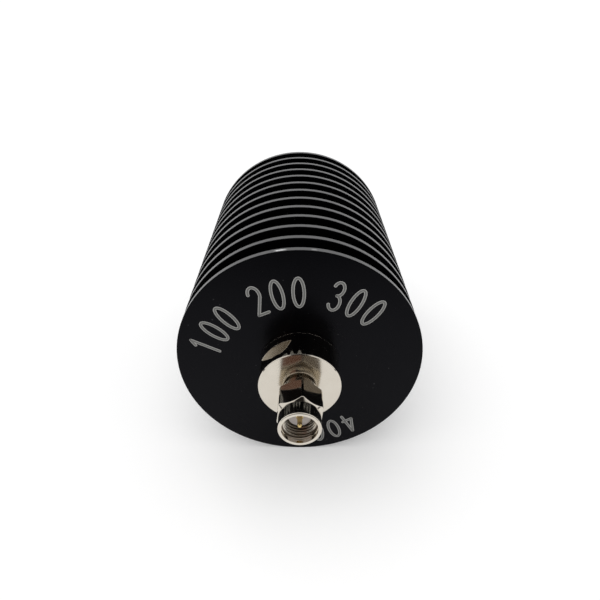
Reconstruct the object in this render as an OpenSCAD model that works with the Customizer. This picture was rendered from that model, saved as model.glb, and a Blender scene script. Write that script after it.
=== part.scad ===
// Coaxial power attenuator: a finned round heat sink on a tubular core,
// with a screw-on plug at the front end and a threaded jack at the rear end.
// The axis of the part is Y. The origin is the centre of the plug's mating plane,
// the plug faces -Y, the jack faces +Y, and +Z is up. All sizes are in millimetres.

/* [Heat sink] */
// Number of cooling fins, the two end plates among them
fin_count = 13; // [11:1:17]
// Outside diameter of the fins
fin_diameter = 50; // [40:0.5:80]
// Length of the heat sink along the axis
sink_length = 65; // [50:0.5:130]
// Thickness of one fin
fin_thickness = 1.4; // [1:0.1:3]
// Wall of the hub at the foot of the fins
hub_wall = 4; // [2:0.1:8]
// Chamfer on both edges of a fin's rim
fin_chamfer = 0.15; // [0.05:0.05:0.4]

/* [Core housing] */
// Outside diameter of the tube that carries the heat sink
housing_diameter = 16; // [15:0.1:20]
// Wall of that tube
housing_wall = 1.5; // [0.8:0.1:2]
// How far the tube stands out of each end of the heat sink
housing_reach = 1; // [0.5:0.1:4]

/* [End bodies] */
// Length of the round end of the plug and jack bodies, outside the tube
boss_length = 7; // [6:0.1:12]
// Chamfer on the outer edge of that round end
boss_chamfer = 0.15; // [0.1:0.05:0.6]
// Distance across the two wrench flats
flat_across = 14; // [12:0.1:14.8]
// Length of the wrench flats along the axis
flat_length = 3.3; // [2:0.1:4]
// Thickness of the full rim beside the wrench flats
flat_rim = 1.5; // [0.5:0.1:1.8]
// Direction in which the first wrench flat faces, seen from the front
flat_angle = 130.5; // [0:0.5:180]
// Length of the spigot inside the tube
spigot_length = 5; // [3:0.1:8]

/* [Plug] */
// Wall of the sleeve that enters a mating jack
sleeve_wall = 0.215; // [0.15:0.005:0.3]
// Distance from the mating plane back to the neck's shoulder
sleeve_length = 2.6; // [2.4:0.1:3]
// How far the neck, on which the nut turns, stands over the sleeve
neck_step = 0.365; // [0.3:0.005:0.5]
// Bare length of neck between the nut and the round end
neck_gap = 0.55; // [0.2:0.05:4]
// Diameter of the centre pin
pin_diameter = 0.92; // [0.9:0.01:0.94]
// How far the pin stands out of the mating plane
pin_reach = 2.3; // [1.5:0.05:2.5]
// Chamfer at the pin's tip
pin_chamfer = 0.2; // [0.1:0.05:0.4]
// Thickness of the sealing gasket
gasket_thickness = 0.8; // [0.6:0.05:1]

/* [Coupling nut] */
// Distance across the flats of the hexagon
nut_across = 8; // [7.8:0.05:10]
// Diameter to which the hexagon's corners are turned
nut_corner_diameter = 9; // [8.8:0.05:9.2]
// Length of the hexagon
nut_hex_length = 5.6; // [5:0.05:8]
// Wall of the round nose in front of the hexagon
nut_nose_wall = 0.6; // [0.5:0.05:0.7]
// Length of that nose
nut_nose_length = 3; // [2:0.05:5]
// Wall of the round collar behind the hexagon
nut_collar_wall = 0.6; // [0.4:0.05:0.8]
// Length of that collar
nut_collar_length = 1.95; // [0.5:0.05:4]
// How far the nose stands ahead of the mating plane
nut_overhang = 3.1; // [2.6:0.05:4]
// Slope of the hexagon's front chamfer, from the plane of its end
nut_front_slope = 45; // [15:1:50]
// Slope of the hexagon's rear chamfer, from the plane of its end
nut_rear_slope = 30; // [15:1:50]
// Chamfer on the outer edges of the nose and the collar
nut_edge = 0.2; // [0.05:0.01:0.3]
// How far the plain mouth is wider than the thread, in radius
nut_mouth_relief = 0.07; // [0.03:0.01:0.1]
// Depth of that mouth
nut_mouth_depth = 0.9; // [0.3:0.05:1.5]
// Angle at which the nut rests, clockwise from the front
nut_turn = 6.6; // [0:0.1:60]
// Major diameter of the thread in the nut and on the jack
thread_diameter = 6.35; // [6.3:0.01:6.4]

/* [Snap ring] */
// Length of the ring along the axis
ring_length = 0.5; // [0.4:0.05:0.8]
// Distance from the neck's shoulder to the ring
ring_setback = 1.6; // [1.2:0.05:2.4]
// Radial reach of the ring on each side of the neck's surface
ring_bite = 0.25; // [0.15:0.01:0.26]
// Opening of the split ring
ring_opening = 40; // [10:1:90]

/* [Jack] */
// Length of the threaded barrel
barrel_length = 9.5; // [7:0.1:14]
// Length of the thread run-out beside the round end
undercut_length = 0.8; // [0.4:0.1:2]
// Depth of that run-out
undercut_depth = 0.55; // [0.2:0.05:0.8]
// Chamfer at the open end of the barrel
barrel_chamfer = 0.3; // [0.1:0.05:0.4]
// Depth of the counterbore, down to the mating plane
jack_bore_depth = 1.95; // [1.9:0.05:2.2]
// Depth of the hole in the centre socket
socket_depth = 3; // [2.6:0.1:4]
// Width of the socket's slots
socket_slot_width = 0.12; // [0.08:0.01:0.16]
// Depth of the socket's slots
socket_slot_depth = 2.4; // [1:0.1:2.5]

/* [Insulators and conductors] */
// Diameter of the insulators at the mating planes
insulator_diameter = 4.1; // [3.8:0.05:4.2]
// How far their inner length is thicker, in radius, so that they cannot pull out
insulator_step = 0.55; // [0.2:0.05:1]
// Distance from a round end's face to the start of that inner length
insulator_step_depth = 3; // [2:0.1:6]
// Diameter of the inner conductors
conductor_diameter = 1.27; // [1.2:0.01:1.3]
// Diameter of the air line around the conductors in the core
air_line_diameter = 2.92; // [2.4:0.02:3.2]
// Wall of the sleeve leads and thickness of their tongues
lead_thickness = 0.2; // [0.1:0.05:0.3]
// Length of a lead's sleeve
lead_sleeve_length = 3; // [2:0.1:5]
// Width of a lead's tongue
lead_width = 1.2; // [0.8:0.05:1.6]
// Length of a lead's tongue that lies on the chip
lead_overlap = 3; // [1:0.1:4]

/* [Attenuator chip] */
// Length of the ceramic chip
chip_length = 26; // [16:0.5:28]
// Width of the ceramic chip
chip_width = 8; // [4:0.1:8.4]
// Thickness of the ceramic chip
chip_thickness = 1; // [0.6:0.1:1.5]
// Clear length between the ceramic lid and a lead's tongue
lid_gap = 1; // [0.3:0.1:3]
// Thickness of the lid over the resistors
lid_thickness = 0.8; // [0.4:0.1:1.5]
// Clear width beside the chip in the cavity
cavity_margin = 0.25; // [0.1:0.05:0.3]
// Clear length between a chip end and the cavity's end wall
cavity_end_gap = 1.5; // [0.5:0.1:2]
// Clear height above the lid
cavity_headroom = 2.4; // [1:0.1:3]

/* [Cover screws] */
// Thread diameter of the cover screws
screw_diameter = 1.6; // [1.2:0.1:1.8]
// Head diameter of the cover screws
screw_head_diameter = 3; // [2.6:0.1:3.2]
// Head height of the cover screws
screw_head_height = 1; // [0.8:0.1:1.2]
// Height of the heads' seat above the axis
screw_seat = 1; // [0.8:0.05:1.4]
// Length of a screw's shank
screw_length = 4.3; // [3.6:0.1:4.4]
// Distance of a screw pair from the cover's end
screw_end_distance = 7; // [4:0.5:9]

/* [Fits] */
// Radial gap of pieces that are pressed or soldered together
fixed_gap = 0.02; // [0.005:0.005:0.03]
// Radial gap between the turning nut and the neck
running_gap = 0.05; // [0.02:0.01:0.1]
// Axial gap between the turning nut and the neck's shoulder
float_gap = 0.1; // [0.05:0.05:0.2]
// Gap around the snap ring in its two grooves
ring_gap = 0.05; // [0.03:0.01:0.08]
// Radial gap between the nut's thread and a mating thread
thread_gap = 0.025; // [0.01:0.005:0.05]
// Radial gap between a plug's sleeve and a jack's counterbore
mating_gap = 0.015; // [0.01:0.005:0.04]
// Radial gap between a plug's pin and a jack's socket
contact_gap = 0.02; // [0.01:0.005:0.04]
// Radial gap between the gasket and the nut's thread
gasket_gap = 0.15; // [0.1:0.01:0.3]
// Radial gap between a screw's head and the tube
head_gap = 0.15; // [0.05:0.05:0.4]

/* [Hidden] */
$fn = 96;
hex_sides = 6;
// How far a cutting shape runs past what it cuts
beyond = 1;

housing_radius = housing_diameter / 2;
core_radius = housing_radius - housing_wall - fixed_gap;
sink_bore_radius = housing_radius + fixed_gap;
fin_radius = fin_diameter / 2;
hub_radius = sink_bore_radius + hub_wall;
fin_pitch = (sink_length - fin_thickness) / (fin_count - 1);

conductor_radius = conductor_diameter / 2;
conductor_bore_radius = conductor_radius + fixed_gap;
insulator_radius = insulator_diameter / 2;
insulator_bore_radius = insulator_radius + fixed_gap;
insulator_step_radius = insulator_radius + insulator_step;
step_bore_radius = insulator_step_radius + fixed_gap;
air_line_radius = air_line_diameter / 2;
sleeve_radius = insulator_bore_radius + sleeve_wall;
neck_radius = sleeve_radius + neck_step;
pin_radius = pin_diameter / 2;
socket_radius = pin_radius + contact_gap;
thread_radius = thread_diameter / 2;
jack_bore_radius = sleeve_radius + mating_gap;

nut_thread_radius = thread_radius + thread_gap;
nut_mouth_radius = nut_thread_radius + nut_mouth_relief;
nut_nose_radius = nut_mouth_radius + nut_nose_wall;
nut_corner_radius = nut_corner_diameter / 2;
nut_rear_bore_radius = neck_radius + running_gap;
nut_collar_radius = nut_rear_bore_radius + nut_collar_wall;

// Places along the axis, from the plug's mating plane at 0
nut_front = -nut_overhang;
hex_front = nut_front + nut_nose_length;
hex_rear = hex_front + nut_hex_length;
nut_rear = hex_rear + nut_collar_length;
plug_face = nut_rear + neck_gap;
housing_front = plug_face + boss_length;
sink_front = housing_front + housing_reach;
sink_rear = sink_front + sink_length;
housing_rear = sink_rear + housing_reach;
jack_face = housing_rear + boss_length;
jack_front = jack_face + barrel_length;
jack_plane = jack_front - jack_bore_depth;
core_front = housing_front + spigot_length;
core_rear = housing_rear - spigot_length;
chip_middle = (core_front + core_rear) / 2;
chip_front = chip_middle - chip_length / 2;
chip_rear = chip_middle + chip_length / 2;
cavity_front = chip_front - cavity_end_gap;
cavity_rear = chip_rear + cavity_end_gap;
tongue_front = chip_front + lead_overlap;
tongue_rear = chip_rear - lead_overlap;

// Heights in the core, from the axis at 0
lead_radius = conductor_bore_radius + lead_thickness;
chip_top = -lead_radius;
chip_floor = chip_top - chip_thickness;
cavity_top = chip_top + lid_thickness + cavity_headroom;

// The snap ring in its grooves, and how far the screws stand from the middle
ring_front = sleeve_length + ring_setback;
ring_rear = ring_front + ring_length;
ring_inner_radius = neck_radius - ring_bite;
ring_outer_radius = neck_radius + ring_bite;
screw_head_radius = screw_head_diameter / 2;
screw_head_top = screw_seat + screw_head_height;
screw_offset = sqrt(pow(core_radius - head_gap, 2) - pow(screw_head_top, 2)) - screw_head_radius;

// Turns a shape that was drawn along Z so that it runs along Y
module along_axis() {
    rotate([-90, 0, 0]) children();
}

// A round solid, from its outline as points of radius and place along the axis
module turned(outline) {
    along_axis() rotate_extrude() polygon(outline);
}

// A round bar between two places along the axis
module bar(radius, from, to) {
    along_axis() translate([0, 0, from]) cylinder(r = radius, h = to - from);
}

// A round tube between two places along the axis
module tube(outer, inner, from, to) {
    difference() {
        bar(outer, from, to);
        bar(inner, from - beyond, to + beyond);
    }
}

// A box between two places along the axis, from one height to another
module slab(width, low, high, from, to) {
    translate([-width / 2, from, low]) cube([width, to - from, high - low]);
}

// The core's round bar between two heights
module core_segment(low, high) {
    intersection() {
        bar(core_radius, core_front, core_rear);
        slab(housing_diameter, low, high, core_front - beyond, core_rear + beyond);
    }
}

// The outline of one fin, with both edges of its rim chamfered
function fin_outline(from) = [
    [hub_radius, from],
    [fin_radius - fin_chamfer, from],
    [fin_radius, from + fin_chamfer],
    [fin_radius, from + fin_thickness - fin_chamfer],
    [fin_radius - fin_chamfer, from + fin_thickness],
    [hub_radius, from + fin_thickness]
];

module heat_sink() {
    color("#17171a") turned(concat(
        [[sink_bore_radius, sink_front]],
        [for (i = [0 : fin_count - 1]) each fin_outline(sink_front + i * fin_pitch)],
        [[sink_bore_radius, sink_rear]]
    ));
}

module core_housing() {
    color("silver") tube(housing_radius, housing_radius - housing_wall, housing_front, housing_rear);
}

// The two cuts that leave wrench flats on a round end
module wrench_flats(from, to) {
    flat_distance = flat_across / 2;
    for (turn = [0, 180])
        rotate([0, -flat_angle - turn, 0])
            translate([flat_distance, from, -housing_radius])
                cube([housing_radius, to - from, housing_diameter]);
}

module plug_body() {
    step = plug_face + insulator_step_depth;
    groove_radius = ring_inner_radius - ring_gap;
    color("silver") difference() {
        turned([
            [insulator_bore_radius, 0],
            [sleeve_radius, 0],
            [sleeve_radius, sleeve_length],
            [neck_radius, sleeve_length],
            [neck_radius, ring_front - ring_gap],
            [groove_radius, ring_front - ring_gap],
            [groove_radius, ring_rear + ring_gap],
            [neck_radius, ring_rear + ring_gap],
            [neck_radius, plug_face],
            [housing_radius - boss_chamfer, plug_face],
            [housing_radius, plug_face + boss_chamfer],
            [housing_radius, housing_front],
            [core_radius, housing_front],
            [core_radius, core_front],
            [step_bore_radius, core_front],
            [step_bore_radius, step],
            [insulator_bore_radius, step]
        ]);
        wrench_flats(plug_face + flat_rim, plug_face + flat_rim + flat_length);
    }
}

// The nut's hexagon, a corner upwards, with its corners turned down and both ends chamfered
module nut_hexagon() {
    corner_height = nut_corner_radius - nut_nose_radius;
    front_drop = corner_height * tan(nut_front_slope);
    rear_drop = corner_height * tan(nut_rear_slope);
    intersection() {
        along_axis() translate([0, 0, hex_front]) rotate(90)
            cylinder(d = nut_across / cos(180 / hex_sides), h = nut_hex_length, $fn = hex_sides);
        turned([
            [0, hex_front],
            [nut_nose_radius, hex_front],
            [nut_corner_radius, hex_front + front_drop],
            [nut_corner_radius, hex_rear - rear_drop],
            [nut_nose_radius, hex_rear],
            [0, hex_rear]
        ]);
    }
}

// The nut before it is bored: nose, hexagon and collar
module nut_blank() {
    nut_hexagon();
    turned([
        [0, nut_front],
        [nut_nose_radius - nut_edge, nut_front],
        [nut_nose_radius, nut_front + nut_edge],
        [nut_nose_radius, hex_front + beyond],
        [0, hex_front + beyond]
    ]);
    turned([
        [0, hex_rear - beyond],
        [nut_collar_radius, hex_rear - beyond],
        [nut_collar_radius, nut_rear - nut_edge],
        [nut_collar_radius - nut_edge, nut_rear],
        [0, nut_rear]
    ]);
}

module coupling_nut() {
    thread_end = sleeve_length + float_gap;
    groove_radius = ring_outer_radius + ring_gap;
    color("silver") rotate([0, nut_turn, 0]) difference() {
        nut_blank();
        turned([
            [0, nut_front - beyond],
            [nut_mouth_radius, nut_front - beyond],
            [nut_mouth_radius, nut_front + nut_mouth_depth],
            [nut_thread_radius, nut_front + nut_mouth_depth],
            [nut_thread_radius, thread_end],
            [nut_rear_bore_radius, thread_end],
            [nut_rear_bore_radius, ring_front - ring_gap],
            [groove_radius, ring_front - ring_gap],
            [groove_radius, ring_rear + ring_gap],
            [nut_rear_bore_radius, ring_rear + ring_gap],
            [nut_rear_bore_radius, nut_rear + beyond],
            [0, nut_rear + beyond]
        ]);
    }
}

module nut_snap_ring() {
    color("goldenrod") along_axis() translate([0, 0, ring_front])
        rotate_extrude(angle = 360 - ring_opening)
            translate([ring_inner_radius, 0])
                square([ring_outer_radius - ring_inner_radius, ring_length]);
}

module nut_gasket() {
    color("dimgray") tube(nut_thread_radius - gasket_gap, sleeve_radius + fixed_gap,
                          sleeve_length - gasket_thickness, sleeve_length);
}

// An insulator from a mating plane to the core, with its thick length on the inside
module insulator(plane, step, inner_end) {
    difference() {
        union() {
            bar(insulator_radius, min(plane, step), max(plane, step));
            bar(insulator_step_radius, min(step, inner_end), max(step, inner_end));
        }
        bar(conductor_bore_radius, min(plane, inner_end) - beyond, max(plane, inner_end) + beyond);
    }
}

module plug_insulator() {
    color("white") insulator(0, plug_face + insulator_step_depth + fixed_gap, core_front);
}

module plug_pin() {
    color("gold") turned([
        [0, -pin_reach],
        [pin_radius - pin_chamfer, -pin_reach],
        [pin_radius, pin_chamfer - pin_reach],
        [pin_radius, 0],
        [conductor_radius, 0],
        [conductor_radius, cavity_front],
        [0, cavity_front]
    ]);
}

module jack_body() {
    step = jack_face - insulator_step_depth;
    root_radius = thread_radius - undercut_depth;
    color("silver") difference() {
        turned([
            [step_bore_radius, core_rear],
            [core_radius, core_rear],
            [core_radius, housing_rear],
            [housing_radius, housing_rear],
            [housing_radius, jack_face - boss_chamfer],
            [housing_radius - boss_chamfer, jack_face],
            [root_radius, jack_face],
            [root_radius, jack_face + undercut_length],
            [thread_radius, jack_face + undercut_length],
            [thread_radius, jack_front - barrel_chamfer],
            [thread_radius - barrel_chamfer, jack_front],
            [jack_bore_radius, jack_front],
            [jack_bore_radius, jack_plane],
            [insulator_bore_radius, jack_plane],
            [insulator_bore_radius, step],
            [step_bore_radius, step]
        ]);
        wrench_flats(jack_face - flat_rim - flat_length, jack_face - flat_rim);
    }
}

module jack_insulator() {
    color("white") insulator(jack_plane, jack_face - insulator_step_depth - fixed_gap, core_rear);
}

module jack_socket() {
    color("gold") difference() {
        bar(conductor_radius, cavity_rear, jack_plane);
        bar(socket_radius, jack_plane - socket_depth, jack_plane + beyond);
        for (turn = [0, 90])
            rotate([0, turn, 0])
                slab(conductor_diameter + beyond, -socket_slot_width / 2, socket_slot_width / 2,
                     jack_plane - socket_slot_depth, jack_plane + beyond);
    }
}

// Puts its children at each of the four screw places
module at_screws() {
    for (side = [-1, 1])
        for (place = [core_front + screw_end_distance, core_rear - screw_end_distance])
            translate([side * screw_offset, place, 0]) children();
}

// A screw's hole, from just above its seat down into the carrier
module screw_hole() {
    translate([0, 0, screw_seat - screw_length - fixed_gap])
        cylinder(r = screw_diameter / 2 + fixed_gap, h = screw_length + 2 * fixed_gap);
}

module chip_carrier() {
    color("chocolate") difference() {
        core_segment(-housing_radius, chip_floor);
        at_screws() screw_hole();
    }
}

module cavity_cover() {
    before = core_front - beyond;
    after = core_rear + beyond;
    color("silver") difference() {
        core_segment(chip_floor, housing_radius);
        slab(chip_width + 2 * cavity_margin, chip_floor - beyond, cavity_top, cavity_front, cavity_rear);
        bar(air_line_radius, before, after);
        slab(air_line_diameter, chip_floor - beyond, 0, before, after);
        at_screws() {
            screw_hole();
            translate([0, 0, screw_seat])
                cylinder(r = screw_head_radius + fixed_gap, h = housing_radius);
        }
    }
}

module cover_screws() {
    color("silver") at_screws() translate([0, 0, screw_seat]) {
        cylinder(r = screw_head_radius, h = screw_head_height);
        translate([0, 0, -screw_length])
            cylinder(d = screw_diameter, h = screw_length + screw_head_height);
    }
}

module attenuator_chip() {
    color("whitesmoke") slab(chip_width, chip_floor, chip_top, chip_front, chip_rear);
}

module chip_lid() {
    color("white") slab(chip_width, chip_top, chip_top + lid_thickness,
                        tongue_front + lid_gap, tongue_rear - lid_gap);
}

// A lead whose sleeve sits on a conductor's end and whose tongue lies on the chip
module lead(conductor_end, tongue_end) {
    sleeve_start = conductor_end - lead_sleeve_length * sign(tongue_end - conductor_end);
    sleeve_low = min(sleeve_start, conductor_end);
    sleeve_high = max(sleeve_start, conductor_end);
    difference() {
        union() {
            bar(lead_radius, sleeve_low, sleeve_high);
            slab(lead_width, chip_top, chip_top + lead_thickness,
                 min(sleeve_start, tongue_end), max(sleeve_start, tongue_end));
        }
        bar(conductor_bore_radius, sleeve_low - beyond, sleeve_high + beyond);
    }
}

module input_lead() {
    color("gold") lead(cavity_front, tongue_front);
}

module output_lead() {
    color("gold") lead(cavity_rear, tongue_rear);
}

heat_sink();
core_housing();
plug_body();
coupling_nut();
nut_snap_ring();
nut_gasket();
plug_insulator();
plug_pin();
jack_body();
jack_insulator();
jack_socket();
chip_carrier();
cavity_cover();
cover_screws();
attenuator_chip();
chip_lid();
input_lead();
output_lead();
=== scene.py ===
import math

import bmesh
import bpy
from mathutils import Matrix, Vector


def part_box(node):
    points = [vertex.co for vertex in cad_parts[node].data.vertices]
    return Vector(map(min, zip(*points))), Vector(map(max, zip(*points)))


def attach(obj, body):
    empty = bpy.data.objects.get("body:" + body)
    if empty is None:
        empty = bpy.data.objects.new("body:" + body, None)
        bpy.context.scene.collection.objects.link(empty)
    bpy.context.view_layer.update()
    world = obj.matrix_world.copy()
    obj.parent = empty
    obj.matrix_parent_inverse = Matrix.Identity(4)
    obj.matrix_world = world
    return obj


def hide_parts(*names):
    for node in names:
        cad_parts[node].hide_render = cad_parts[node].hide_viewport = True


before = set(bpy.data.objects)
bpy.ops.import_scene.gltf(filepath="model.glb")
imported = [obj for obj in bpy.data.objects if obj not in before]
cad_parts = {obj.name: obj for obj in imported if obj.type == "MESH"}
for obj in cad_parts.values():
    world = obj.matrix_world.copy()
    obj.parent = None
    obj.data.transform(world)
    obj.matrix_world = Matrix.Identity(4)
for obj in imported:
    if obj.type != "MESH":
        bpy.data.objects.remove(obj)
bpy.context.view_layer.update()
mm = 0.001
print("frame loaded:", len(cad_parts), "nodes")


# A socket of a node tree, so that sums on values read as plain expressions
class Wire:
    def __init__(self, tree, socket=None):
        self.tree = tree
        self.socket = socket

    def node(self, kind, settings=None, sockets=None, output=0):
        made = self.tree.nodes.new(kind)
        for key, value in (settings or {}).items():
            setattr(made, key, value)
        for key, value in (sockets or {}).items():
            if isinstance(value, Wire):
                self.tree.links.new(value.socket, made.inputs[key])
            elif isinstance(value, list):  # a socket that takes several links
                for wire in value:
                    self.tree.links.new(wire.socket, made.inputs[key])
            else:
                made.inputs[key].default_value = value
        return Wire(self.tree, made.outputs[output] if len(made.outputs) else None)

    def pick(self, name):
        return Wire(self.tree, self.socket.node.outputs[name])

    def maths(self, operation, *operands):
        return self.node("ShaderNodeMath", {"operation": operation}, dict(enumerate(operands)))

    def __add__(self, other):
        return self.maths("ADD", self, other)

    def __radd__(self, other):
        return self.maths("ADD", other, self)

    def __sub__(self, other):
        return self.maths("SUBTRACT", self, other)

    def __rsub__(self, other):
        return self.maths("SUBTRACT", other, self)

    def __mul__(self, other):
        return self.maths("MULTIPLY", self, other)

    def __rmul__(self, other):
        return self.maths("MULTIPLY", other, self)

    def __truediv__(self, other):
        return self.maths("DIVIDE", self, other)

    def __rtruediv__(self, other):
        return self.maths("DIVIDE", other, self)

    def __mod__(self, other):
        return self.maths("MODULO", self, other)

    def __gt__(self, other):
        return self.maths("GREATER_THAN", self, other)

    def __lt__(self, other):
        return self.maths("LESS_THAN", self, other)

    def __abs__(self):
        return self.maths("ABSOLUTE", self)

    def floor(self):
        return self.maths("FLOOR", self)

    def clamp(self, low=0.0, high=1.0):
        return self.maths("MINIMUM", self.maths("MAXIMUM", self, low), high)

    def ease(self, start, end):
        sockets = {"Value": self, "From Min": start, "From Max": end}
        return self.node("ShaderNodeMapRange", {"interpolation_type": "SMOOTHSTEP"}, sockets)


def newFinish(name, **constants):
    material = bpy.data.materials.new(name)
    material.use_nodes = True
    shader = material.node_tree.nodes["Principled BSDF"]
    for key, value in constants.items():
        label = key.replace("_", " ")
        shader.inputs[label].default_value = (*value, 1.0) if isinstance(value, tuple) else value
    return material, shader, Wire(material.node_tree)


def feed(shader, label, wire):
    wire.tree.links.new(wire.socket, shader.inputs[label])


def mixColours(wire, factor, first, second):
    sockets = {"Factor": factor}
    for slot, colour in ((6, first), (7, second)):
        sockets[slot] = colour if isinstance(colour, Wire) else (*colour, 1.0)
    return wire.node("ShaderNodeMix", {"data_type": "RGBA"}, sockets, 2)


# Distance from the axis, place along it and angle round it, all from object coordinates
def axisPlace(wire):
    objectPlace = wire.node("ShaderNodeTexCoord", output="Object")
    x = wire.node("ShaderNodeSeparateXYZ", {}, {0: objectPlace})
    y = x.pick("Y")
    z = x.pick("Z")
    radius = wire.maths("SQRT", x * x + z * z)
    angle = wire.maths("ARCTAN2", z, x)
    return objectPlace, radius, y, angle


def noise(wire, vector, scale, detail=2.0, roughness=0.5):
    sockets = {"Vector": vector, "Scale": scale, "Detail": detail, "Roughness": roughness}
    return wire.node("ShaderNodeTexNoise", {"noise_dimensions": "3D"}, sockets)


# Noise drawn out round the axis, as a turning tool leaves it
def toolMarks(wire, radius, place, angle, finest):
    roundTurn = 0.6
    ringPlace = wire.node("ShaderNodeCombineXYZ", {}, {
        0: radius * finest, 1: place * finest, 2: angle * roundTurn})
    return noise(wire, ringPlace, 1.0, 3.0, 0.6)


# Noises average a half, so each moves the value to both sides of its middle
def spread(middle, *parts):
    lowest = middle - sum(amount for part, amount in parts) / 2
    return sum(part * amount for part, amount in parts) + lowest


def bump(wire, height, strength, distance):
    sockets = {"Strength": strength, "Distance": distance, "Height": height}
    return wire.node("ShaderNodeBump", {}, sockets)


blackFinish = {"colour": (0.0004, 0.0004, 0.0006), "light": (0.0011, 0.0011, 0.0015), "roughness": 0.29,
               "specular": 0.09, "tint": (0.86, 0.86, 1.0), "toolPitch": 9000.0, "cloud": 160.0,
               "grain": 5200.0, "cloudTone": 0.7, "markTone": 0.5, "dust": (0.05, 0.05, 0.052),
               "dustScale": 1500.0, "dustAbove": 0.765, "dustShare": 0.6, "markSpread": 0.10,
               "cloudSpread": 0.08, "markRelief": 0.6, "grainRelief": 0.4, "bump": (0.12, 0.00002)}


def makeBlackFinish():
    material, shader, wire = newFinish("blackAnodised", Specular_IOR_Level=blackFinish["specular"],
                                       Specular_Tint=blackFinish["tint"])
    objectPlace, radius, place, angle = axisPlace(wire)
    marks = toolMarks(wire, radius, place, angle, blackFinish["toolPitch"])
    cloud = noise(wire, objectPlace, blackFinish["cloud"], 4.0)
    grain = noise(wire, objectPlace, blackFinish["grain"], 2.0)
    tone = spread(0.5, (cloud, blackFinish["cloudTone"]), (marks, blackFinish["markTone"])).clamp()
    specks = noise(wire, objectPlace, blackFinish["dustScale"], 1.0) > blackFinish["dustAbove"]
    dusty = specks * blackFinish["dustShare"]
    base = mixColours(wire, tone, blackFinish["colour"], blackFinish["light"])
    feed(shader, "Base Color", mixColours(wire, dusty, base, blackFinish["dust"]))
    feed(shader, "Roughness", spread(blackFinish["roughness"], (marks, blackFinish["markSpread"]),
                                     (cloud, blackFinish["cloudSpread"])))
    relief = marks * blackFinish["markRelief"] + grain * blackFinish["grainRelief"]
    feed(shader, "Normal", bump(wire, relief, *blackFinish["bump"]))
    return material


rimFinish = {"colour": (0.071, 0.071, 0.073), "pale": (0.116, 0.116, 0.118), "roughness": 0.34,
             "toolPitch": 14000.0, "patches": 260.0, "patchTone": 0.9, "markTone": 0.5, "markSpread": 0.16,
             "bump": (0.2, 0.00002), "bare": (0.80, 0.80, 0.80), "bareGrain": 2600.0, "nickPlace": 0.60,
             "nickWidth": 0.34, "nickCore": 0.3, "nickFade": 0.8,
             "nicks": ((98.0, 3.2, 1.0), (84.0, 1.6, 0.3), (10.0, 0.8, 0.5))}  # angle, reach, strength


def makeRimFinish():
    material, shader, wire = newFinish("turnedRim", Metallic=1.0)
    objectPlace, radius, place, angle = axisPlace(wire)
    marks = toolMarks(wire, radius, place, angle, rimFinish["toolPitch"])
    patches = noise(wire, objectPlace, rimFinish["patches"], 3.0)
    tone = spread(0.5, (patches, rimFinish["patchTone"]), (marks, rimFinish["markTone"])).clamp()
    turned = mixColours(wire, tone, rimFinish["colour"], rimFinish["pale"])
    knocked = 0.0
    for middle, reach, strength in rimFinish["nicks"]:
        near = 1 - abs(angle - math.radians(middle)) / math.radians(reach)
        knocked = near.ease(0.0, rimFinish["nickFade"]) * strength + knocked
    offMiddle = abs(place - (sinkFront + rimFinish["nickPlace"]) * mm)
    nickWidth = rimFinish["nickWidth"] * mm
    onFront = 1 - offMiddle.ease(rimFinish["nickCore"] * nickWidth, nickWidth)
    bareGrain = noise(wire, objectPlace, rimFinish["bareGrain"]) * 2.0 - 0.1
    bare = (knocked * onFront * bareGrain).clamp()
    feed(shader, "Base Color", mixColours(wire, bare, turned, rimFinish["bare"]))
    feed(shader, "Roughness", spread(rimFinish["roughness"], (marks, rimFinish["markSpread"])))
    feed(shader, "Normal", bump(wire, marks, *rimFinish["bump"]))
    return material


nickelFinish = {"colour": (0.655, 0.612, 0.540), "dull": (0.60, 0.552, 0.476), "roughness": 0.075,
                "toolPitch": 12000.0, "cloud": 420.0, "markSpread": 0.06, "cloudSpread": 0.03,
                "bump": (0.06, 0.00001), "turnedFaces": (8.0, 89.0), "faceDepth": 0.02, "faceDulling": 0.10}


def makeNickelFinish():
    material, shader, wire = newFinish("brightNickel", Metallic=1.0)
    objectPlace, radius, place, angle = axisPlace(wire)
    marks = toolMarks(wire, radius, place, angle, nickelFinish["toolPitch"])
    cloud = noise(wire, objectPlace, nickelFinish["cloud"], 3.0)
    feed(shader, "Base Color", mixColours(wire, cloud, nickelFinish["colour"], nickelFinish["dull"]))
    onFace = 0.0
    for face in nickelFinish["turnedFaces"]:
        onFace = (abs(place - face * mm) < nickelFinish["faceDepth"] * mm) + onFace
    plain = spread(nickelFinish["roughness"], (marks, nickelFinish["markSpread"]),
                   (cloud, nickelFinish["cloudSpread"]))
    feed(shader, "Roughness", plain + onFace * nickelFinish["faceDulling"])
    feed(shader, "Normal", bump(wire, marks, *nickelFinish["bump"]))
    return material


# Nickel and smoother on a thread's crest; towards its root the colour darkens to a painted shade and the
# finish roughens
threadFinish = {"crest": (0.57, 0.525, 0.455), "root": (0.085, 0.062, 0.046), "paintedShadeFade": (0.1, 0.85),
                "markTone": 0.2, "roughness": 0.30, "markSpread": 0.06, "crestShine": 0.08}


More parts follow.
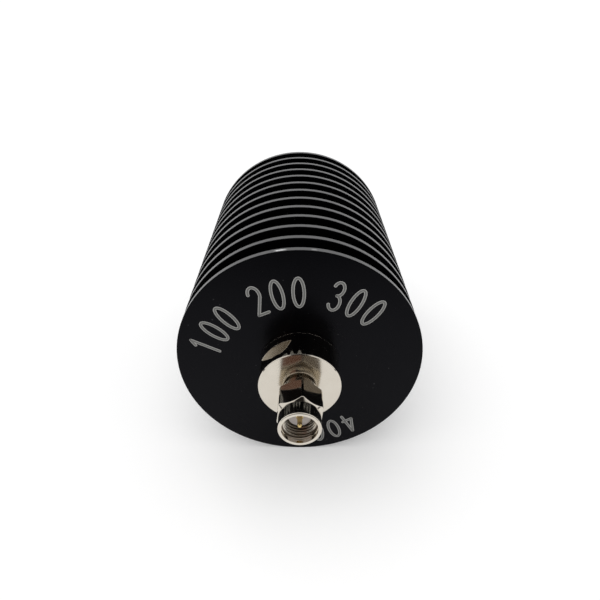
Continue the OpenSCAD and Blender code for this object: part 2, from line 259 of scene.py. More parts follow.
def makeThreadFinish(name, rootRadius, crestRadius):
    material, shader, wire = newFinish(name, Metallic=1.0)
    radius, place, angle = axisPlace(wire)[1:]
    marks = toolMarks(wire, radius, place, angle, nickelFinish["toolPitch"])
    height = (radius - rootRadius * mm) / ((crestRadius - rootRadius) * mm)
    markTone = threadFinish["markTone"]
    crestUnshaded = (height.ease(*threadFinish["paintedShadeFade"]) + marks * markTone - markTone / 2).clamp()
    # root is painted shade in the thread's hollows, crest the nickel itself
    feed(shader, "Base Color", mixColours(wire, crestUnshaded, threadFinish["root"], threadFinish["crest"]))
    feed(shader, "Roughness", marks * threadFinish["markSpread"] - crestUnshaded * threadFinish["crestShine"]
         + threadFinish["roughness"])
    feed(shader, "Normal", bump(wire, marks, *nickelFinish["bump"]))
    return material


plainFinish = {"grainSpread": 0.14, "bump": (0.1, 0.00001)}


# A finish with cloudy colour and a fine grain, for the small and the hidden pieces
def makePlainFinish(name, colour, other, roughness, metallic, cloudScale, grainScale):
    material, shader, wire = newFinish(name, Metallic=metallic)
    objectPlace = wire.node("ShaderNodeTexCoord", output="Object")
    cloud = noise(wire, objectPlace, cloudScale, 4.0)
    grain = noise(wire, objectPlace, grainScale, 2.0)
    feed(shader, "Base Color", mixColours(wire, cloud, colour, other))
    feed(shader, "Roughness", spread(roughness, (grain, plainFinish["grainSpread"])))
    feed(shader, "Normal", bump(wire, grain, *plainFinish["bump"]))
    return material


# Laser marks: the darker middle of each stroke is painted shade and its lighter edge painted light, as a
# groove's floor and walls would catch them
markFinish = {"middle": (0.150, 0.150, 0.145), "edge": (0.44, 0.436, 0.418), "paintedShadeFade": (0.04, 0.42),
              "grain": 6000.0, "grainTone": 0.5, "roughness": 0.55, "grainSpread": 0.2, "specular": 0.2}


def makeMarkFinish():
    material, shader, wire = newFinish("laserMark", Metallic=0.0, Specular_IOR_Level=markFinish["specular"])
    objectPlace = wire.node("ShaderNodeTexCoord", output="Object")
    edge = wire.node("ShaderNodeAttribute", {"attribute_name": "strokeEdge"}, output="Fac")
    grain = noise(wire, objectPlace, markFinish["grain"], 2.0)
    grainTone = markFinish["grainTone"]
    tone = (edge.ease(*markFinish["paintedShadeFade"]) + grain * grainTone - grainTone / 2).clamp()
    # middle is the painted groove shade, edge the painted light beside it
    feed(shader, "Base Color", mixColours(wire, tone, markFinish["middle"], markFinish["edge"]))
    feed(shader, "Roughness", spread(markFinish["roughness"], (grain, markFinish["grainSpread"])))
    return material


sinkLow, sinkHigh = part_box("heat_sink")
sinkFront = sinkLow.y / mm
black = makeBlackFinish()
rim = makeRimFinish()
nickel = makeNickelFinish()
laserMark = makeMarkFinish()
gilt = makePlainFinish("giltContact", (0.66, 0.51, 0.24), (0.55, 0.41, 0.18),
                       roughness=0.2, metallic=1.0, cloudScale=900.0, grainScale=7000.0)
insulatorWhite = makePlainFinish("insulatorWhite", (0.76, 0.69, 0.66), (0.83, 0.76, 0.72),
                                 roughness=0.5, metallic=0.0, cloudScale=700.0, grainScale=5000.0)
bronze = makePlainFinish("springBronze", (0.62, 0.40, 0.20), (0.50, 0.31, 0.15),
                         roughness=0.32, metallic=1.0, cloudScale=600.0, grainScale=6000.0)
rubber = makePlainFinish("gasketRubber", (0.05, 0.045, 0.043), (0.075, 0.07, 0.068),
                         roughness=0.6, metallic=0.0, cloudScale=500.0, grainScale=4000.0)
copper = makePlainFinish("milledCopper", (0.74, 0.40, 0.26), (0.63, 0.31, 0.19),
                         roughness=0.3, metallic=1.0, cloudScale=300.0, grainScale=5000.0)
aluminium = makePlainFinish("milledAluminium", (0.74, 0.74, 0.75), (0.66, 0.66, 0.67),
                            roughness=0.32, metallic=1.0, cloudScale=300.0, grainScale=5000.0)
steel = makePlainFinish("screwSteel", (0.55, 0.55, 0.56), (0.46, 0.46, 0.47),
                        roughness=0.28, metallic=1.0, cloudScale=500.0, grainScale=6000.0)
ceramic = makePlainFinish("firedCeramic", (0.84, 0.84, 0.82), (0.76, 0.76, 0.74),
                          roughness=0.42, metallic=0.0, cloudScale=400.0, grainScale=5000.0)
print("finishes made:", len(bpy.data.materials))


# Geometry nodes: an outline of radius and place is turned round the axis, or wound along it
def makeLatheTree():
    tree = bpy.data.node_groups.new("turningLathe", "GeometryNodeTree")
    sockets = (("Geometry", "Geometry"), ("Segments", "Int"), ("Turns", "Float"), ("Lead", "Float"),
               ("Run Out", "Float"), ("Copies", "Int"), ("Pitch", "Float"), ("Foot Radius", "Float"),
               ("Rim Radius", "Float"), ("Body Finish", "Material"), ("Rim Finish", "Material"))
    for name, kind in sockets:
        tree.interface.new_socket(name, in_out="INPUT", socket_type="NodeSocket" + kind)
    tree.interface.new_socket("Geometry", in_out="OUTPUT", socket_type="NodeSocketGeometry")
    given = Wire(tree, tree.nodes.new("NodeGroupInput").outputs[0])
    outline = given.pick("Geometry")
    turns = given.pick("Turns")
    foot = given.pick("Foot Radius")
    tiny = 1e-6

    corners = given.node("GeometryNodeAttributeDomainSize", {"component": "MESH"}, {0: outline})
    points = corners * given.pick("Copies")
    rows = points + 2
    spans = rows - 1 + (foot > tiny)  # a bored piece closes on itself, a solid one ends on the axis
    sheet = given.node("GeometryNodeMeshGrid", {}, {
        "Size X": 1.0, "Size Y": 1.0,
        "Vertices X": given.pick("Segments") * turns + 1, "Vertices Y": spans + 1})

    here = given.node("GeometryNodeInputPosition")
    across = given.node("ShaderNodeSeparateXYZ", {}, {0: here})
    turn = (across + 0.5) * turns
    row = given.maths("ROUND", (across.pick("Y") + 0.5) * spans) % rows
    inner = given.maths("MINIMUM", (row - 1).clamp(0.0, 1e6), points - 1)
    copy = ((inner + 0.5) / corners).floor()
    corner = given.node("GeometryNodeSampleIndex", {"data_type": "FLOAT_VECTOR", "domain": "POINT"}, {
        "Geometry": outline, "Value": here, "Index": inner - copy * corners})
    cornerRadius = given.node("ShaderNodeSeparateXYZ", {}, {0: corner})
    onFoot = (row < 0.5) + (row > points + 0.5)
    growth = ((given.maths("MINIMUM", turn, turns - turn) + tiny)
              / given.maths("MAXIMUM", given.pick("Run Out"), tiny)).clamp()
    radius = foot + (cornerRadius - foot) * (1 - onFoot) * growth
    place = cornerRadius.pick("Y") * growth + copy * given.pick("Pitch") + turn * given.pick("Lead")
    angle = turn * (-2 * math.pi)
    moved = given.node("ShaderNodeCombineXYZ", {}, {
        0: radius * given.maths("COSINE", angle), 1: place, 2: radius * given.maths("SINE", angle)})

    turned = given.node("GeometryNodeSetPosition", {}, {"Geometry": sheet, "Position": moved})
    closed = given.node("GeometryNodeMergeByDistance", {}, {"Geometry": turned, "Distance": 1e-7})
    smooth = given.node("GeometryNodeSetShadeSmooth", {}, {"Geometry": closed})
    real = given.node("GeometryNodeRealizeInstances", {}, {"Geometry": smooth})
    finished = given.node("GeometryNodeSetMaterial", {}, {
        "Geometry": real, "Material": given.pick("Body Finish")})
    spot = given.node("ShaderNodeSeparateXYZ", {}, {0: here})
    fromAxis = given.maths("SQRT", spot * spot + spot.pick("Z") * spot.pick("Z"))
    rimmed = given.node("GeometryNodeSetMaterial", {}, {
        "Geometry": finished, "Selection": fromAxis > given.pick("Rim Radius"),
        "Material": given.pick("Rim Finish")})
    result = tree.nodes.new("NodeGroupOutput")
    tree.links.new(rimmed.socket, result.inputs[0])
    return tree


def setInputs(modifier, values):
    for item in modifier.node_group.interface.items_tree:
        if item.in_out == "INPUT" and item.name in values:
            modifier[item.identifier] = values[item.name]


# Merges doubles, turns the faces outwards and marks the hard edges
def cleanMesh(mesh, hardAngle):
    work = bmesh.new()
    work.from_mesh(mesh)
    bmesh.ops.remove_doubles(work, verts=work.verts, dist=2e-7)
    bmesh.ops.dissolve_degenerate(work, dist=1e-7, edges=work.edges)
    bmesh.ops.recalc_face_normals(work, faces=work.faces)
    for face in work.faces:
        face.smooth = True
    work.to_mesh(mesh)
    work.free()
    mesh.set_sharp_from_angle(angle=math.radians(hardAngle))


def addPiece(name, mesh, body, replaced=()):
    piece = bpy.data.objects.new(name, mesh)
    bpy.context.scene.collection.objects.link(piece)
    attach(piece, body)
    if replaced:
        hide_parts(*replaced)
    return piece


def growMesh(name, points, edges, tree, values):
    seed = bpy.data.meshes.new(name + "Outline")
    seed.from_pydata(points, edges, [])
    carrier = bpy.data.objects.new(name + "Outline", seed)
    bpy.context.scene.collection.objects.link(carrier)
    modifier = carrier.modifiers.new("shape", "NODES")
    modifier.node_group = tree
    setInputs(modifier, values)
    ready = carrier.evaluated_get(bpy.context.evaluated_depsgraph_get())
    mesh = bpy.data.meshes.new_from_object(ready)
    mesh.name = name
    carrier.modifiers.remove(modifier)
    bpy.data.objects.remove(carrier)
    bpy.data.meshes.remove(seed)
    return mesh


guard = 0.015  # a point this far from a rounding keeps the flat beside it flat


# An outline in millimetres with rounded corners; each corner is a radius, a place and maybe a rounding
def softOutline(corners, steps=4):
    points = []
    for i, corner in enumerate(corners):
        middle = Vector(corner[:2])
        rounding = corner[2] if len(corner) > 2 else 0.0
        if rounding == 0.0:
            points.append(middle)
            continue
        inward = (Vector(corners[i - 1][:2]) - middle).normalized()
        onward = (Vector(corners[i + 1][:2]) - middle).normalized()
        points.append(middle + inward * (rounding + guard))
        for step in range(steps + 1):
            t = step / steps
            points.append(middle + inward * rounding * (1 - t) ** 2 + onward * rounding * t ** 2)
        points.append(middle + onward * (rounding + guard))
    return points


latheTree = makeLatheTree()


def turnMesh(name, corners, finish, foot, hardAngle=35.0, **values):
    points = [(p.x * mm, p.y * mm, 0.0) for p in softOutline(corners)]
    settings = {"Segments": 128, "Turns": 1.0, "Lead": 0.0, "Run Out": 0.0, "Copies": 1, "Pitch": 0.0,
                "Foot Radius": foot * mm, "Rim Radius": 1.0, "Body Finish": finish, "Rim Finish": finish}
    settings.update(values)
    mesh = growMesh(name, points, [], latheTree, settings)
    cleanMesh(mesh, hardAngle)
    return mesh


# Rows of points round the axis, whose radius and place may change with the angle, joined into a closed skin
def skinMesh(name, rows, angles, finish, hardAngle=35.0):
    points = []
    for radius, place in rows:
        for angle in angles:
            r = radius(angle) if callable(radius) else radius
            y = place(angle) if callable(place) else place
            a = math.radians(angle)
            points.append((r * mm * math.cos(a), y * mm, r * mm * math.sin(a)))
    across = len(angles)
    faces = []
    for i in range(len(rows)):
        j = (i + 1) % len(rows)
        for k in range(across):
            n = (k + 1) % across
            faces.append((i * across + k, i * across + n, j * across + n, j * across + k))
    mesh = bpy.data.meshes.new(name)
    mesh.from_pydata(points, [], faces)
    mesh.materials.append(finish)
    cleanMesh(mesh, hardAngle)
    return mesh


def plainRows(corners):
    return [(p.x, p.y) for p in softOutline(corners)]


# Heat sink: one fin's outline, repeated along the axis and turned
heatSink = {"fins": 13, "finThickness": 1.4, "hubRadius": 12.02, "boreRadius": 8.02, "edge": 0.15,
            "segments": 114, "rimDepth": 0.012}
finRadius = sinkHigh.x / mm
finPitch = (sinkHigh.y / mm - sinkFront - heatSink["finThickness"]) / (heatSink["fins"] - 1)
finRear = sinkFront + heatSink["finThickness"]
finCorners = [(heatSink["hubRadius"], sinkFront), (finRadius, sinkFront, heatSink["edge"]),
              (finRadius, finRear, heatSink["edge"]), (heatSink["hubRadius"], finRear)]
sinkMesh = turnMesh("heatSink", finCorners, black, heatSink["boreRadius"], **{
    "Segments": heatSink["segments"], "Copies": heatSink["fins"], "Pitch": finPitch * mm,
    "Rim Radius": (finRadius - heatSink["rimDepth"]) * mm, "Rim Finish": rim})
addPiece("heatSink", sinkMesh, "attenuator", ["heat_sink"])
print("heat sink turned:", len(sinkMesh.polygons), "faces")


# Geometry nodes: lines on a face become flat strokes with round ends, graded towards their edges for the
# marks' painted groove shade and light
def makeStrokeTree():
    tree = bpy.data.node_groups.new("strokePress", "GeometryNodeTree")
    sockets = (("Geometry", "Geometry"), ("Stroke Radius", "Float"), ("Proud", "Float"),
               ("Face Place", "Float"), ("Finish", "Material"))
    for name, kind in sockets:
        tree.interface.new_socket(name, in_out="INPUT", socket_type="NodeSocket" + kind)
    tree.interface.new_socket("Geometry", in_out="OUTPUT", socket_type="NodeSocketGeometry")
    given = Wire(tree, tree.nodes.new("NodeGroupInput").outputs[0])
    radius = given.pick("Stroke Radius")
    face = given.pick("Face Place")

    lines = given.node("GeometryNodeMeshToCurve", {}, {0: given.pick("Geometry")})
    profile = given.node("GeometryNodeCurvePrimitiveCircle", {}, {"Resolution": 12, "Radius": radius})
    bars = given.node("GeometryNodeCurveToMesh", {}, {
        "Curve": lines, "Profile Curve": profile, "Fill Caps": True})
    ball = given.node("GeometryNodeMeshUVSphere", {}, {"Segments": 12, "Rings": 8, "Radius": radius})
    tips = given.node("GeometryNodeCurveEndpointSelection")
    rounds = given.node("GeometryNodeInstanceOnPoints", {}, {
        "Points": lines, "Selection": tips, "Instance": ball})
    joined = given.node("GeometryNodeJoinGeometry", {}, {0: [bars, rounds]})
    real = given.node("GeometryNodeRealizeInstances", {}, {"Geometry": joined})

    spot = given.node("ShaderNodeSeparateXYZ", {}, {0: given.node("GeometryNodeInputPosition")})
    rise = (spot.pick("Y") - face) / radius
    graded = given.node("GeometryNodeStoreNamedAttribute", {"data_type": "FLOAT", "domain": "POINT"}, {
        "Geometry": real, "Name": "strokeEdge", "Value": 1 - abs(rise)})
    flat = given.node("ShaderNodeCombineXYZ", {}, {
        0: spot, 1: face + rise * given.pick("Proud"), 2: spot.pick("Z")})
    pressed = given.node("GeometryNodeSetPosition", {}, {"Geometry": graded, "Position": flat})
    smooth = given.node("GeometryNodeSetShadeSmooth", {}, {"Geometry": pressed})
    finished = given.node("GeometryNodeSetMaterial", {}, {
        "Geometry": smooth, "Material": given.pick("Finish")})
    result = tree.nodes.new("NodeGroupOutput")
    tree.links.new(finished.socket, result.inputs[0])
    return tree


def arcPoints(middle, size, start, end, steps=14):
    points = []
    for step in range(steps + 1):
        a = math.radians(start + (end - start) * step / steps)
        points.append((middle[0] + size[0] * math.cos(a), middle[1] + size[1] * math.sin(a)))
    return points


# Strokes of each digit, in a box one wide and one high round the foot's middle
digitStrokes = {
    "0": [arcPoints((0.0, 0.5), (0.5, 0.5), 0, 360, 32)],
    "1": [[(-0.36, 0.79), (0.0, 1.0)], [(0.0, 1.0), (0.0, 0.0)]],
    "2": [arcPoints((0.0, 0.74), (0.5, 0.26), 170, -35), [(0.41, 0.59), (-0.5, 0.0)],
          [(-0.5, 0.0), (0.5, 0.0)]],
    "3": [arcPoints((0.0, 0.765), (0.46, 0.235), 160, -90), arcPoints((0.0, 0.265), (0.5, 0.265), 90, -160)],
    "4": [[(0.24, 0.0), (0.24, 1.0)], [(0.24, 1.0), (-0.5, 0.3)], [(-0.5, 0.3), (0.5, 0.3)]]}

# Numbers on the front face, each digit upright on its own ray from the arc's middle
marks = {"stroke": 0.63, "width": 2.1, "proud": 0.02, "step": 10.6, "gap": 8.2}
topArc = {"words": "100 200 300", "middle": (0.76, -5.5), "foot": 18.82, "height": 6.15, "start": 153.7}
lowArc = {"words": "400", "middle": (0.0, 0.0), "foot": 17.87, "height": 5.06, "start": -57.2}


def arcDigits(arc):
    lines = []
    angle = arc["start"]
    for letter in arc["words"]:
        if letter == " ":
            angle -= marks["gap"]
            continue
        out = Vector((math.cos(math.radians(angle)), math.sin(math.radians(angle))))
        along = Vector((out.y, -out.x))
        for stroke in digitStrokes[letter]:
            lines.append([Vector(arc["middle"]) + along * (s * marks["width"])
                          + out * (arc["foot"] + h * arc["height"]) for s, h in stroke])
        angle -= marks["step"]
    return lines


markPoints = []
markEdges = []
for line in arcDigits(topArc) + arcDigits(lowArc):
    first = len(markPoints)
    closed = (line[0] - line[-1]).length < 1e-6
    if closed:
        line = line[:-1]
    markPoints += [(p.x * mm, sinkFront * mm, p.y * mm) for p in line]
    markEdges += [(first + i, first + i + 1) for i in range(len(line) - 1)]
    if closed:
        markEdges.append((first + len(line) - 1, first))
markMesh = growMesh("faceMarks", markPoints, markEdges, makeStrokeTree(), {
    "Stroke Radius": marks["stroke"] / 2 * mm, "Proud": marks["proud"] * mm, "Face Place": sinkFront * mm,
    "Finish": laserMark})
addPiece("faceMarks", markMesh, "attenuator")
print("marks drawn:", len(markMesh.polygons), "faces")

# Core tube, of which only the ends show
coreLow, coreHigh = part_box("core_housing")
core = {"wall": 1.5, "edge": 0.015}
coreRadius = coreHigh.x / mm
coreMesh = turnMesh("coreHousing", [
    (coreRadius - core["wall"], coreLow.y / mm), (coreRadius, coreLow.y / mm, core["edge"]),
    (coreRadius, coreHigh.y / mm, core["edge"]), (coreRadius - core["wall"], coreHigh.y / mm)],
    nickel, coreRadius - core["wall"])
addPiece("coreHousing", coreMesh, "attenuator", ["core_housing"])

# Wrench flats on the round ends of the plug and jack bodies
flats = {"angle": 130.5, "across": 14.0, "length": 3.3, "rim": 1.5, "edge": 0.05, "edgeMiddle": 0.3,
         "hardAngle": 20.0, "segments": 192, "besideEdge": (-1.0, -0.4, -0.15, 0.0, 0.15, 0.4, 1.0)}


def flatRadius(angle):
    limit = coreRadius
    for facing in (flats["angle"], flats["angle"] + 180):
        offset = math.radians((angle - facing + 180) % 360 - 180)
        if abs(offset) < math.pi / 3:
            limit = min(limit, flats["across"] / 2 / math.cos(offset))
    return limit


def flatDepth(angle):
    return min(flats["edge"], (coreRadius - flatRadius(angle)) / 2)


def flatAngles():
    reach = math.degrees(math.acos(flats["across"] / 2 / coreRadius))
    angles = {round(i * 360 / flats["segments"], 4) for i in range(flats["segments"])}
    for facing in (flats["angle"], flats["angle"] + 180):
        for side in (-reach, reach):
            for step in flats["besideEdge"]:
                angles.add(round((facing + side + step) % 360, 4))
    return sorted(angles)


# The rows of one shoulder; lean is 1 where the flat lies behind it and -1 where it lies in front
def shoulderRows(place, lean):
    edge = flats["edge"]
    share = flats["edgeMiddle"]
    rows = [(coreRadius, place - lean * edge),
            (lambda a: coreRadius - share * flatDepth(a), place - lean * share * edge),
            (lambda a: coreRadius - flatDepth(a), place),
            (flatRadius, place)]
    return rows if lean > 0 else rows[::-1]


# Plug body
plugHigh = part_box("plug_body")[1]
plug = {"bore": 2.07, "sleeve": 2.285, "sleeveLength": 2.6, "neck": 2.65, "groove": 2.35,
        "grooveFront": 4.15, "grooveRear": 4.75, "face": 8.0, "chamfer": 0.15, "spigot": 6.48,
        "stepBore": 2.62, "step": 11.0, "soft": 0.015, "seam": 0.008}
flatFront = plug["face"] + flats["rim"]
flatRear = flatFront + flats["length"]
plugRows = plainRows([
    (plug["bore"], 0.0), (plug["sleeve"], 0.0, plug["soft"]), (plug["sleeve"], plug["sleeveLength"]),
    (plug["neck"], plug["sleeveLength"], plug["soft"]), (plug["neck"], plug["grooveFront"]),
    (plug["groove"], plug["grooveFront"]), (plug["groove"], plug["grooveRear"]),
    (plug["neck"], plug["grooveRear"]), (plug["neck"], plug["face"]),
    (coreRadius - plug["chamfer"], plug["face"], plug["soft"]),
    (coreRadius, plug["face"] + plug["chamfer"], plug["soft"]), (coreRadius, flatFront - 2 * guard)])
plugRows += shoulderRows(flatFront, 1) + shoulderRows(flatRear, -1)
plugRows += plainRows([
    (coreRadius, flatRear + 2 * guard), (coreRadius, coreLow.y / mm, plug["seam"]),
    (plug["spigot"], coreLow.y / mm), (plug["spigot"], plugHigh.y / mm), (plug["stepBore"], plugHigh.y / mm),
    (plug["stepBore"], plug["step"]), (plug["bore"], plug["step"])])
plugMesh = skinMesh("plugBody", plugRows, flatAngles(), nickel, flats["hardAngle"])
addPiece("plugBody", plugMesh, "attenuator", ["plug_body"])
print("plug body made:", len(plugMesh.polygons), "faces")

# Coupling nut
nutLow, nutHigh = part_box("coupling_nut")
nut = {"across": 8.0, "corner": 4.5, "turn": 6.6, "nose": 3.87, "noseLength": 3.0, "hexLength": 5.6,
       "frontSlope": 45.0, "rearSlope": 30.0, "collar": 3.3, "edge": 0.2, "mouth": 3.27, "mouthDepth": 0.9,
       "thread": 3.2, "threadEnd": 2.7, "rearBore": 2.7, "groove": 2.95, "grooveFront": 4.15,
       "grooveRear": 4.75, "soft": 0.06, "angleStep": 1.5,
       "besideEdge": (-0.6, -0.25, -0.1, 0.0, 0.1, 0.25, 0.6)}
nutFront = nutLow.y / mm
nutRear = nutHigh.y / mm
hexFront = nutFront + nut["noseLength"]
hexRear = hexFront + nut["hexLength"]


def hexOffset(angle):
    return (angle - (90 - nut["turn"]) + 30) % 60 - 30


def hexRadius(angle):
    fromFlat = 30 - abs(hexOffset(angle))
    return min(nut["corner"], nut["across"] / 2 / math.cos(math.radians(fromFlat)))


def hexAngles():
    land = 30 - math.degrees(math.acos(nut["across"] / 2 / nut["corner"]))
    steps = round(30 / nut["angleStep"])
    angles = set()
    for corner in range(6):
        middle = 90 - nut["turn"] + corner * 60
        for i in range(-steps, steps + 1):
            angles.add(round((middle + i * nut["angleStep"]) % 360, 4))
        for side in (-land, land):
            for step in nut["besideEdge"]:
                angles.add(round((middle + side + step) % 360, 4))
    return sorted(angles)


# The rows over one chamfer and the start of the flat behind it; lean is 1 at the front and -1 at the rear
def hexRows(start, slope, lean):
    run = math.cos(math.radians(slope))
    rise = math.sin(math.radians(slope))

    def brink(angle):
        return start + lean * (hexRadius(angle) - nut["nose"]) * rise / run

    rows = [(nut["nose"], start)]
    for t in (0.0, 0.3, 0.6, 1.0):
        back = nut["soft"] * (1 - t) ** 2
        on = nut["soft"] * t ** 2
        rows.append((lambda a, b=back: hexRadius(a) - b * run,
                     lambda a, b=back, o=on: brink(a) - lean * b * rise + lean * o))
    rows.append((hexRadius, lambda a: brink(a) + lean * (nut["soft"] + guard)))
    return rows if lean > 0 else rows[::-1]


nutRows = plainRows([
    (nut["mouth"], nutFront), (nut["nose"], nutFront, nut["edge"]), (nut["nose"], hexFront - guard)])
nutRows += hexRows(hexFront, nut["frontSlope"], 1) + hexRows(hexRear, nut["rearSlope"], -1)
nutRows += plainRows([
    (nut["collar"], hexRear), (nut["collar"], nutRear, nut["edge"]), (nut["rearBore"], nutRear),
    (nut["rearBore"], nut["grooveRear"]), (nut["groove"], nut["grooveRear"]),
    (nut["groove"], nut["grooveFront"]), (nut["rearBore"], nut["grooveFront"]),
    (nut["rearBore"], nut["threadEnd"]), (nut["thread"], nut["threadEnd"]),
    (nut["thread"], nutFront + nut["mouthDepth"]), (nut["mouth"], nutFront + nut["mouthDepth"])])
nutMesh = skinMesh("couplingNut", nutRows, hexAngles(), nickel)
addPiece("couplingNut", nutMesh, "nut", ["coupling_nut"])
print("coupling nut made:", len(nutMesh.polygons), "faces")

# Threads, wound as ridges on the plain walls
thread = {"lead": 0.7056, "crest": 0.10, "foot": 0.58, "height": 0.36, "sink": 0.05, "runOut": 0.35,
          "segments": 72, "hardAngle": 30.0, "nutStart": 0.35, "nutEnd": 1.0, "jackStart": 0.3,
          "jackEnd": 0.35}


# A ridge's cross-section round place 0; tall is above 0 where the ridge stands outwards
def ridgeCorners(wall, tall):
    return [(wall, -thread["foot"] / 2), (wall + tall, -thread["crest"] / 2),
            (wall + tall, thread["crest"] / 2), (wall, thread["foot"] / 2)]


def windThread(name, wall, tall, start, end, body):
    turns = (end - start) / thread["lead"]
    sink = thread["sink"] if tall > 0 else -thread["sink"]
    finish = makeThreadFinish(name + "Finish", wall, wall + tall)
    mesh = turnMesh(name, ridgeCorners(wall, tall), finish, wall - sink, thread["hardAngle"], **{
        "Segments": thread["segments"], "Turns": turns, "Lead": thread["lead"] * mm,
        "Run Out": thread["runOut"]})
    mesh.transform(Matrix.Translation((0.0, start * mm, 0.0)))
    return addPiece(name, mesh, body)


windThread("nutThread", nut["thread"], -thread["height"], nutFront + nut["mouthDepth"] + thread["nutStart"],
           nut["threadEnd"] - thread["nutEnd"], "nut")

# Jack body, with its barrel at the foot of the thread
jackLow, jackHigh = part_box("jack_body")
jack = {"face": 89.0, "chamfer": 0.15, "spigot": 6.48, "stepBore": 2.62, "step": 86.0, "bore": 2.07,
        "undercut": 2.625, "undercutLength": 0.8, "barrel": 2.80, "lip": 2.3, "plane": 96.55, "lead": 0.3,
        "leadDrop": 0.1, "major": 3.175, "soft": 0.015, "seam": 0.008}
jackFront = jackHigh.y / mm
jackFlatRear = jack["face"] - flats["rim"]
jackFlatFront = jackFlatRear - flats["length"]
jackRows = plainRows([
    (jack["stepBore"], jackLow.y / mm), (jack["spigot"], jackLow.y / mm), (jack["spigot"], coreHigh.y / mm),
    (coreRadius, coreHigh.y / mm, jack["seam"]), (coreRadius, jackFlatFront - 2 * guard)])
jackRows += shoulderRows(jackFlatFront, 1) + shoulderRows(jackFlatRear, -1)
jackRows += plainRows([
    (coreRadius, jackFlatRear + 2 * guard), (coreRadius, jack["face"] - jack["chamfer"], jack["soft"]),
    (coreRadius - jack["chamfer"], jack["face"], jack["soft"]), (jack["undercut"], jack["face"]),
    (jack["undercut"], jack["face"] + jack["undercutLength"]),
    (jack["barrel"], jack["face"] + jack["undercutLength"]),
    (jack["barrel"], jackFront - jack["lead"]), (jack["barrel"] - jack["leadDrop"], jackFront, jack["soft"]),
    (jack["lip"], jackFront, jack["soft"]), (jack["lip"], jack["plane"]), (jack["bore"], jack["plane"]),
    (jack["bore"], jack["step"]), (jack["stepBore"], jack["step"])])
jackMesh = skinMesh("jackBody", jackRows, flatAngles(), nickel, flats["hardAngle"])
addPiece("jackBody", jackMesh, "attenuator", ["jack_body"])
windThread("jackThread", jack["barrel"], jack["major"] - jack["barrel"],
           jack["face"] + jack["undercutLength"] + thread["jackStart"], jackFront - thread["jackEnd"],
           "attenuator")
print("jack body made:", len(jackMesh.polygons), "faces")

# Centre pin and insulator of the plug
pinLow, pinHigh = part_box("plug_pin")
pin = {"radius": 0.46, "tip": 0.26, "tipLength": 0.2, "tipEdge": 0.05, "root": 0.635, "segments": 48}
pinMesh = turnMesh("plugPin", [
    (pin["tip"], pinLow.y / mm), (pin["radius"], pinLow.y / mm + pin["tipLength"], pin["tipEdge"]),
    (pin["radius"], 0.0), (pin["root"], 0.0), (pin["root"], pinHigh.y / mm)],
    gilt, 0.0, Segments=pin["segments"])
addPiece("plugPin", pinMesh, "attenuator", ["plug_pin"])
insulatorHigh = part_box("plug_insulator")[1]
insulator = {"radius": 2.05, "bore": 0.655, "step": 11.02, "thick": 2.6, "edge": 0.05, "segments": 64}
insulatorMesh = turnMesh("plugInsulator", [
    (insulator["bore"], 0.0), (insulator["radius"], 0.0, insulator["edge"]),
    (insulator["radius"], insulator["step"]), (insulator["thick"], insulator["step"]),
    (insulator["thick"], insulatorHigh.y / mm)],
    insulatorWhite, insulator["bore"], Segments=insulator["segments"])
addPiece("plugInsulator", insulatorMesh, "attenuator", ["plug_insulator"])

# Carried-over pieces get their finishes
carried = {"nut_snap_ring": bronze, "nut_gasket": rubber, "jack_insulator": insulatorWhite,
           "jack_socket": gilt, "chip_carrier": copper, "cavity_cover": aluminium, "cover_screws": steel,
           "attenuator_chip": ceramic, "chip_lid": ceramic, "input_lead": gilt, "output_lead": gilt}
for node, finish in carried.items():
    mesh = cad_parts[node].data
    mesh.materials.clear()
    mesh.materials.append(finish)
print("carried nodes finished:", len(carried))

# Floor
floorLook = {"half": 6.0, "colour": (0.82, 0.82, 0.82), "lift": 0.24, "lit": (1.0, 1.0, 1.0),
             "unlit": (0.0, 0.0, 0.0), "dim": (0.10, 0.10, 0.10), "dimFrom": 0.045, "dimTo": 0.105}
floorMesh = bpy.data.meshes.new("floor")
half = floorLook["half"]
floorCorners = [(x * half, y * half, sinkLow.z) for x, y in ((-1, -1), (1, -1), (1, 1), (-1, 1))]
floorMesh.from_pydata(floorCorners, [], [(0, 1, 2, 3)])
floor = bpy.data.objects.new("floor", floorMesh)
bpy.context.scene.collection.objects.link(floor)
floorMaterial, floorShader, floorWire = newFinish("paleFloor", Roughness=0.9, Specular_IOR_Level=0.0,
                                                  Emission_Strength=floorLook["lift"])
ray = floorWire.node("ShaderNodeLightPath")
mirrored = ray.pick("Is Glossy Ray")
seen = (ray + mirrored + ray.pick("Is Transmission Ray")).clamp()
floorPlace = floorWire.node("ShaderNodeSeparateXYZ", {}, {
    0: floorWire.node("ShaderNodeTexCoord", output="Object")})
# The viewer's own shade on the floor, in reflections alone
dim = mirrored * (0 - floorPlace.pick("Y")).ease(floorLook["dimFrom"], floorLook["dimTo"])
feed(floorShader, "Base Color", mixColours(floorWire, dim, floorLook["colour"], floorLook["dim"]))
feed(floorShader, "Emission Color", mixColours(floorWire, seen * (1 - dim), floorLook["unlit"],
                                               floorLook["lit"]))
floorMesh.materials.append(floorMaterial)

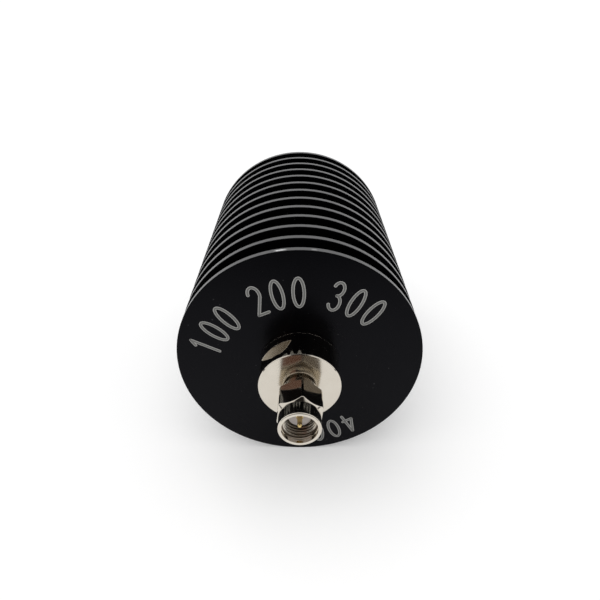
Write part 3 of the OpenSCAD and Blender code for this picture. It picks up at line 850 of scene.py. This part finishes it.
# World: white to the eye, a plain level for light, and in reflections a dim warm side towards the viewer
studio = {"ambient": (0.55, 0.55, 0.55), "white": (1.0, 1.0, 1.0), "dimSide": (0.14, 0.12, 0.10),
          "sideAcross": (0.46, 0.80), "sideRise": (0.0, 0.06), "dimRed": (0.15, 0.065, 0.043),
          "redAcross": (0.05, 0.35), "redRise": (0.15, 0.35), "dimSpot": (0.02, 0.018, 0.017),
          "spotTowards": (0.0, -0.69, 0.72), "spotEdge": (0.90, 0.965), "sunShare": 0.45, "sunAngle": 80.0,
          "sunTowards": (-0.16, -0.10, 0.98)}
world = bpy.data.worlds.new("studio")
bpy.context.scene.world = world
world.use_nodes = True
world.cycles.sampling_method = "NONE"  # each ray then asks the backdrop by its own kind
worldWire = Wire(world.node_tree)
backdrop = world.node_tree.nodes["Background"]
worldRay = worldWire.node("ShaderNodeLightPath")
towards = worldWire.node("ShaderNodeTexCoord", output="Generated")
compass = worldWire.node("ShaderNodeSeparateXYZ", {}, {0: towards})
side = (0 - compass.pick("Y")).ease(*studio["sideAcross"]) * compass.pick("Z").ease(*studio["sideRise"])
spot = worldWire.node("ShaderNodeVectorMath", {"operation": "DOT_PRODUCT"}, {
    0: towards, 1: studio["spotTowards"]}, "Value").ease(*studio["spotEdge"])
red = (0 - compass).ease(*studio["redAcross"]) * compass.pick("Z").ease(*studio["redRise"])
dimSide = mixColours(worldWire, red, studio["dimSide"], studio["dimRed"])
mirroredWorld = mixColours(worldWire, spot, mixColours(worldWire, side, studio["white"], dimSide),
                           studio["dimSpot"])
seenWorld = (worldRay + worldRay.pick("Is Transmission Ray")).clamp()
plainWorld = mixColours(worldWire, seenWorld, studio["ambient"], studio["white"])
feed(backdrop, "Color", mixColours(worldWire, worldRay.pick("Is Glossy Ray"), plainWorld, mirroredWorld))

sunTowards = Vector(studio["sunTowards"]).normalized()
sunData = bpy.data.lights.new("softSun", "SUN")
sunData.energy = math.pi * studio["sunShare"] / sunTowards.z
sunData.angle = math.radians(studio["sunAngle"])
sun = bpy.data.objects.new("softSun", sunData)
sun.rotation_euler = sunTowards.to_track_quat("Z", "Y").to_euler()
sun.visible_glossy = False  # reflections show the backdrop alone
bpy.context.scene.collection.objects.link(sun)

# Camera at the photograph's place
view = {"place": (0.0, -0.06577, 0.06332), "tilt": 55.825, "lens": 30.254, "shift": (0.0005, 0.05125),
        "sensor": 36.0, "nearest": 0.005}
cameraData = bpy.data.cameras.new("camera")
cameraData.sensor_width = view["sensor"]
cameraData.lens = view["lens"]
cameraData.shift_x, cameraData.shift_y = view["shift"]
cameraData.clip_start = view["nearest"]
camera = bpy.data.objects.new("camera", cameraData)
camera.location = view["place"]
camera.rotation_euler = (math.radians(view["tilt"]), 0.0, 0.0)
bpy.context.scene.collection.objects.link(camera)
bpy.context.scene.camera = camera
bpy.context.scene.view_settings.view_transform = "Standard"

print("scene ready")
